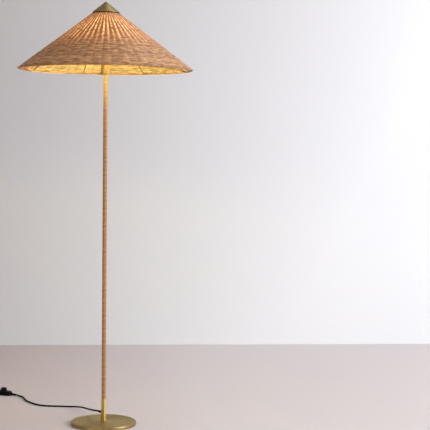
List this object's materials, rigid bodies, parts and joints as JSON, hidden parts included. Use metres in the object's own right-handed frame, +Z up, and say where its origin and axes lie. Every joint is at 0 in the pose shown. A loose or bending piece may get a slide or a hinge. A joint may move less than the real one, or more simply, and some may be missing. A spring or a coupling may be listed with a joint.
{
  "type": "floor lamp",
  "caption": "Floor lamp with a wide woven cone shade, a thin cane-wrapped stem, a flat round brass base and a mains lead with a foot switch.",
  "frame": {"origin": "on the floor, under the middle of the stem", "axes": "+Z up along the stem; +X to the right and +Y away from the viewer, with the mains lead leaving the stem to the back left"},
  "size_m": [0.9121, 1.0123, 1.5],
  "materials": {
    "satin_brass": "spun and satin lacquered",
    "polished_brass": "polished and lacquered",
    "turned_brass": "bare turned",
    "cast_iron": "as cast",
    "steel": "zinc plated",
    "nickel": "nickel plated",
    "black_wire": "dark powder coat",
    "felt": "pressed felt",
    "cane": "wound peeled cane",
    "rattan": "woven round reed",
    "white_plastic": "moulded, heat-proof",
    "phenolic": "moulded",
    "black_plastic": "fine grain",
    "black_rubber": "smooth sheath",
    "black_fabric": "hook-and-loop strap",
    "opal_glass": "opal, inside frosted"
  },
  "bodies": {
    "stand": {"base_cover": "satin_brass", "base_nut": "steel", "base_pad": "felt", "base_stud": "steel", "base_washer": "steel", "base_weight": "cast_iron", "carrier_bow": "black_wire", "carrier_plate": "black_wire", "carrier_stud": "steel", "centre_contact": "turned_brass", "coil_tie": "black_fabric", "cord_coil": "black_rubber", "cord_lead": "black_rubber", "cord_outlet": "black_rubber", "cord_run": "black_rubber", "cord_tail": "black_rubber", "cup_nut": "steel", "holder_ring_nut": "polished_brass", "inner_flex": "black_rubber", "lampholder_body": "white_plastic", "lower_bushing": "turned_brass", "lower_sleeve": "polished_brass", "plug_body": "black_plastic", "plug_boot": "black_rubber", "plug_pin_1": "nickel", "plug_pin_2": "nickel", "screw_shell": "turned_brass", "socket_cup": "polished_brass", "stem_tube": "steel", "stem_wrap": "cane", "switch_block": "phenolic", "switch_cover": "black_plastic", "switch_gland_in": "black_rubber", "switch_gland_out": "black_rubber", "switch_screw_1": "steel", "switch_screw_2": "steel", "switch_spring": "steel", "switch_tray": "black_plastic", "top_nipple": "steel", "upper_bushing": "turned_brass"},
    "foot_button": {"switch_button": "black_plastic"},
    "shade": {"frame_hub": "black_wire", "frame_wire_1": "black_wire", "frame_wire_2": "black_wire", "frame_wire_3": "black_wire", "frame_wire_4": "black_wire", "frame_wire_5": "black_wire", "frame_wire_6": "black_wire", "frame_wire_7": "black_wire", "frame_wire_8": "black_wire", "frame_ring": "black_wire", "shade_weave": "rattan", "shade_border": "rattan"},
    "cap_thread": {"cap_boss": "steel"},
    "cap": {"cap_cone": "polished_brass"},
    "bulb_thread": {"bulb_tip": "nickel"},
    "bulb": {"bulb_cap": "nickel", "bulb_glass": "opal_glass"}
  },
  "joints": [
    {"name": "foot_button_press", "type": "slide", "parent": "stand", "child": "foot_button", "axis": [0, 0, -1], "range_m": [0, 0.003], "stiffness_N_per_m": 2000, "springref_m": -0.003, "deforming": ["switch_spring"]},
    {"name": "shade_turn", "type": "hinge", "parent": "stand", "child": "shade", "pos_m": [0, 0, 1.3], "axis": [0, 0, 1], "continuous": true},
    {"name": "cap_rise", "type": "slide", "parent": "stand", "child": "cap_thread", "axis": [0, 0, 1], "range_m": [0, 0.01205]},
    {"name": "cap_unscrew", "type": "hinge", "parent": "cap_thread", "child": "cap", "pos_m": [0, 0, 1.48], "axis": [0, 0, 1], "range_deg": [0, 4320]},
    {"name": "bulb_rise", "type": "slide", "parent": "stand", "child": "bulb_thread", "axis": [0, 0, 1], "range_m": [0, 0.0182]},
    {"name": "bulb_unscrew", "type": "hinge", "parent": "bulb_thread", "child": "bulb", "pos_m": [0, 0, 1.3], "axis": [0, 0, 1], "range_deg": [0, 1800]}
  ],
  "couplings": [
    {"joint": "cap_rise", "follows": "cap_unscrew", "m_per_rad": 0.00015915},
    {"joint": "bulb_rise", "follows": "bulb_unscrew", "m_per_rad": 0.00057757}
  ]
}
